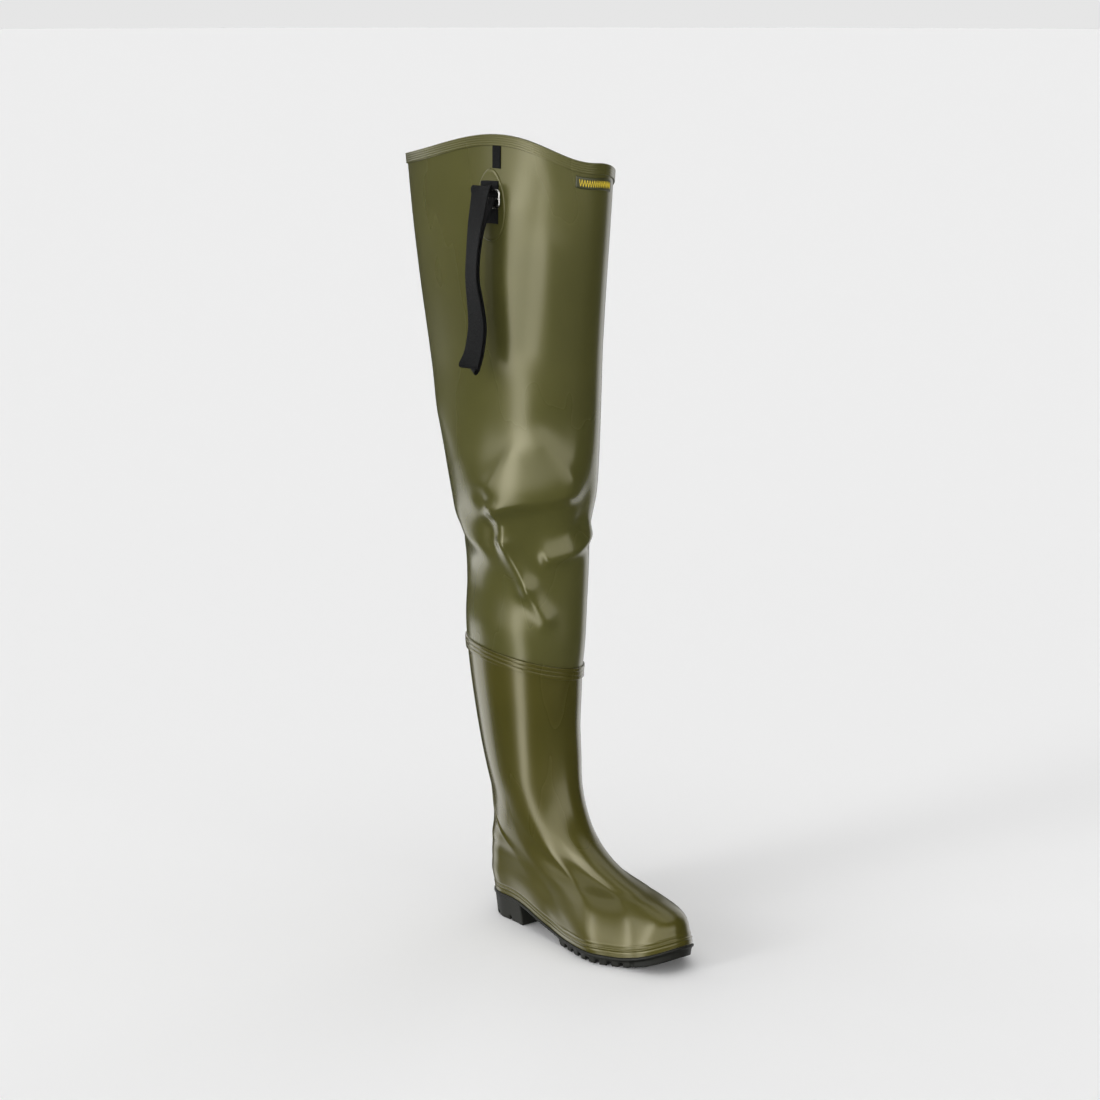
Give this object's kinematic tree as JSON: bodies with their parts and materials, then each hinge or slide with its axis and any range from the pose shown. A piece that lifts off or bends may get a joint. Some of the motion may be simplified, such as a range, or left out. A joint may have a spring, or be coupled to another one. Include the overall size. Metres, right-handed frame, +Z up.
{
  "type": "thigh-length rubber boot",
  "caption": "Hip-high rubber wader boot, right foot: lugged dark sole, hollow olive foot and leg, ribbed joint band, bound slanted collar, webbing belt strap with buckle.",
  "frame": {"origin": "middle of the heel's flat tread face, on the floor", "axes": "+X to the toe, +Y to the inner side of the leg, +Z up"},
  "size_m": [0.4131, 0.1838, 0.892],
  "materials": {
    "outsole": "matt",
    "olive": "glossy",
    "insole": "felt",
    "webbing": "woven",
    "label": "satin",
    "nickel": "nickel plated"
  },
  "bodies": {
    "root": {"outsole": "outsole", "upper": "olive", "insole": "insole", "joint_band": "olive", "shaft": "olive", "collar_binding": "olive", "hanger_tab": "webbing", "strap_patch": "olive", "strap_anchor": "webbing", "belt_strap": "webbing", "label": "label", "buckle": "nickel"}
  },
  "joints": []
}
